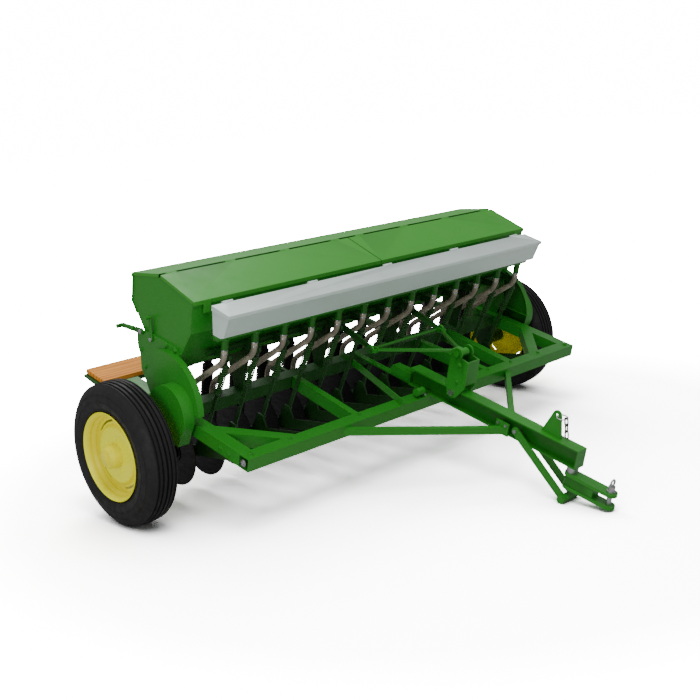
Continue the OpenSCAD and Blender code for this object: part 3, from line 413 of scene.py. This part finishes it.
# Folded rim round each end panel
bm = bmesh.new()
for s in (-1, 1):
    front = [(-0.160, 0.758), (-0.160, 0.608), (-0.083, 0.448)]
    rear = [(0.262, 0.562), (0.305, 0.610), (0.305, 0.741)]
    for run in (front, rear):
        for (y0, z0), (y1, z1) in zip(run, run[1:]):
            d = Vector((0, y1 - y0, z1 - z0))
            L = d.length
            c = Vector((s * (HALF + 0.0028), (y0 + y1) / 2, (z0 + z1) / 2))
            nrm = Vector((0, -d.z, d.y)).normalized()
            mid = Vector((0, MID_Y, MID_Z)) - Vector((0, c.y, c.z))
            if nrm.dot(mid) < 0:
                nrm = -nrm
            w = 0.0022
            v = []
            for a in (-L / 2 - w, L / 2 + w):
                for b, e in ((0.0, -0.0028), (0.0, 0.0028), (w * 2, 0.0028), (w * 2, -0.0028)):
                    p = c + d.normalized() * a + nrm * b
                    v.append(bm.verts.new((p.x + s * e, p.y, p.z)))
            for q in ((0, 1, 2, 3), (4, 5, 6, 7), (0, 1, 5, 4), (1, 2, 6, 5), (2, 3, 7, 6), (3, 0, 4, 7)):
                bm.faces.new([v[k] for k in q])
rim = make("end_panel_rims", bm, GREEN, "frame")
bevel(rim, 0.0008, 2)

# ---------- drop tube collars ----------
bm = bmesh.new()
for x in ROWS:
    for z, r in ((0.541, 0.0165), (0.522, 0.0162)):
        m = Matrix.Translation((x, -0.252, z))
        band = [(r - 0.0015, -0.003), (r, -0.0024), (r + 0.0009, 0), (r, 0.0024), (r - 0.0015, 0.003)]
        lathe(bm, band, m, 28)
cl = make("tube_collars", bm, STEEL, "frame")

# ---------- corrugated grain hoses, from the feed cups into the opener boots ----------
bm = bmesh.new()
for x in ROWS:
    wall = [(0.0120, -0.010), (0.0120, 0.074), (0.0200, 0.080)]
    for i in range(13):
        z = 0.088 + 0.0165 * i
        wall += [(0.0228, z), (0.0285, z + 0.0040), (0.0285, z + 0.0088), (0.0228, z + 0.0128)]
    wall += [(0.0195, 0.306), (0.0195, 0.337), (0.0095, 0.337), (0.0095, -0.010)]
    lathe(bm, wall, Matrix.Translation((x, 0.078, 0)), 26)
hose = make("grain_hoses", bm, HOSE, "frame", angle=50)
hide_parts("grain_tubes")

# ---------- pressure springs on the press rods ----------
ROD_LOW = Vector((0, -0.108, 0.031))
ROD_TOP = Vector((0, -0.225, 0.480))
ROD_X = 0.042  # a press rod stands this far beside its row
SPRING_TOP = 0.88  # as a share of the rod's length


def coil(bm, place, radius, wire, length, turns):
    """Round-wire compression spring about local Z, its end turns closed up."""
    steps, sides = 14, 6  # points in a turn and round the wire
    round_wire = [math.tau * k / sides for k in range(sides)]
    rings = []
    n = turns * steps
    for i in range(n + 1):
        t = i / n
        h = length * (t + 0.035 * math.sin(2 * math.pi * (0.5 - t)))
        a = math.tau * i / steps
        c = Vector((math.cos(a), math.sin(a), 0))
        ring = [c * (radius + wire * math.cos(b)) + Vector((0, 0, h + wire * math.sin(b))) for b in round_wire]
        rings.append([bm.verts.new(place @ v) for v in ring])
    for a, b in zip(rings, rings[1:]):
        for k in range(sides):
            bm.faces.new((a[k], a[(k + 1) % sides], b[(k + 1) % sides], b[k]))
    bm.faces.new(rings[0][::-1])
    bm.faces.new(rings[-1])


sp = bmesh.new()
seats = bmesh.new()
run = ROD_TOP - ROD_LOW
turn = frame_of(run)
for x in ROWS:
    base = Vector((x + ROD_X, 0, 0)) + ROD_LOW
    # the row beside the angle brace carries a shorter spring, higher on its rod
    low = 0.72 if abs(x - ROWS[5]) < 0.01 else 0.58
    share = SPRING_TOP - low
    coil(sp, Matrix.Translation(base + run * low) @ turn, 0.0158, 0.0026, run.length * share, round(40 * share))
    for t, up in ((low - 0.008, 1), (SPRING_TOP + 0.008, -1)):
        seat = Matrix.Translation(base + run * t) @ turn
        plate = [(AXIAL, -0.0035), (0.0195, -0.0035), (0.0205, -0.002),
                 (0.0205, 0.002), (0.0195, 0.0035), (AXIAL, 0.0035)]
        collar = [(AXIAL, 0.0), (0.0135, 0.0), (0.0135, -0.013 * up), (0.0118, -0.016 * up), (AXIAL, -0.016 * up)]
        lathe(seats, plate, seat, 28)
        lathe(seats, collar, seat, 20)
spring = make("press_springs", sp, SPRING, "press_rods", angle=60)
seat = make("spring_seats", seats, ARM, "press_rods")

# ---------- moulded grip on the feed lever ----------
bm = bmesh.new()
x = -(HALF + 0.014)
tip, root = Vector((x, 0.366, 0.4655)), Vector((x, 0.262, 0.4825))
grip_length = (tip - root).length
grip = [(AXIAL, 0.0), (0.0085, 0.0005), (0.0118, 0.004), (0.0124, 0.010)]
for i in range(7):
    h = 0.016 + 0.011 * i
    grip += [(0.0124, h), (0.0108, h + 0.003), (0.0108, h + 0.005), (0.0124, h + 0.008)]
grip += [(0.0128, 0.098), (0.0115, grip_length), (AXIAL, grip_length)]
lathe(bm, grip, Matrix.Translation(tip) @ frame_of(root - tip), 24)
hg = make("feed_lever_grip", bm, GREEN, "feed_lever")

# ---------- stage ----------
fl = bmesh.new()
bmesh.ops.create_grid(fl, x_segments=1, y_segments=1, size=30)
me = bpy.data.meshes.new("floor")
fl.to_mesh(me)
fl.free()
floor = bpy.data.objects.new("floor", me)
bpy.context.collection.objects.link(floor)
fm = Mat("studio_floor")
fm.t.nodes.remove(fm.p)
path = fm.add("ShaderNodeLightPath").outputs["Is Camera Ray"]
grey = [(g, g, g, 1) for g in (0.54, 0.56)]
tone = fm.ramp(fm.noise(0.6, 2), [(0.3, grey[0]), (0.7, grey[1])])
# Burnt-out paper: bright near the machine, brighter far off, with a contact shade underneath
reach = fm.add("ShaderNodeVectorMath", operation="LENGTH")
fm.link(fm.co, reach.inputs[0])
glow = fm.mix(fm.val(reach.outputs["Value"], 0, 1, 2.0, 6.0), (10.0, 10.0, 10.0, 1), (60.0, 60.0, 60.0, 1))
shade = fm.add("ShaderNodeAmbientOcclusion")
shade.samples = 8
shade.inputs["Distance"].default_value = 0.75
glow = fm.mix(fm.val(shade.outputs["AO"], 0, 1, 0.25, 0.92), (0.35, 0.36, 0.35, 1), glow)
soft = fm.add("ShaderNodeBsdfDiffuse")
fm.link(fm.mix(path, tone, glow), soft.inputs["Color"])
fm.link(soft.outputs["BSDF"], fm.t.nodes["Material Output"].inputs["Surface"])
me.materials.append(fm.m)

# White sweep: the lens sees it burnt out, the machine is lit by a softer sky
world = bpy.data.worlds.new("studio")
bpy.context.scene.world = world
world.use_nodes = True
wt = world.node_tree
bg = wt.nodes["Background"]
bg.inputs["Color"].default_value = (1, 1, 1, 1)
seen = wt.nodes.new("ShaderNodeMapRange")
seen.inputs["To Min"].default_value = 0.5
seen.inputs["To Max"].default_value = 16.0
wt.links.new(wt.nodes.new("ShaderNodeLightPath").outputs["Is Camera Ray"], seen.inputs["Value"])
wt.links.new(seen.outputs["Result"], bg.inputs["Strength"])


def area(name, at, aim, size, power):
    d = bpy.data.lights.new(name, "AREA")
    d.shape = "DISK"
    d.size = size
    d.energy = power
    o = bpy.data.objects.new(name, d)
    bpy.context.collection.objects.link(o)
    o.location = at
    o.rotation_euler = (Vector(aim) - Vector(at)).to_track_quat("-Z", "Y").to_euler()


area("back", (0.8, 3.0, 4.8), (0, -0.2, 0.4), 2.6, 140)
area("key", (-2.0, -2.2, 5.4), (0, 0, 0.5), 2.8, 150)
area("side", (-5.2, -1.6, 1.6), (-1.2, 0.2, 0.5), 2.0, 50)

# ---------- camera, solved from the long edges of the machine ----------
azimuth, elevation, roll = math.radians(-46.8), math.radians(23.7), math.radians(6.7)
ahead = Vector((-math.sin(azimuth) * math.cos(elevation),
                math.cos(azimuth) * math.cos(elevation), -math.sin(elevation)))
right = Vector((math.cos(azimuth), math.sin(azimuth), 0))
up = right.cross(ahead)
rolled_right = math.cos(roll) * right + math.sin(roll) * up
rolled_up = -math.sin(roll) * right + math.cos(roll) * up
pose = Matrix((rolled_right, rolled_up, -ahead)).transposed().to_4x4()
pose.translation = Vector((-4.0785, -3.8551, 2.6436))
cam = bpy.data.objects.new("camera", bpy.data.cameras.new("camera"))
bpy.context.collection.objects.link(cam)
cam.matrix_world = PLACE @ pose
FOCAL_SHARE, SHIFT_SHARE = 1131.8 / 700, 3.4 / 700  # of the picture's width
cam.data.sensor_width = 36
cam.data.lens = cam.data.sensor_width * FOCAL_SHARE
cam.data.shift_y = SHIFT_SHARE
cam.data.clip_end = 100
bpy.context.scene.camera = cam
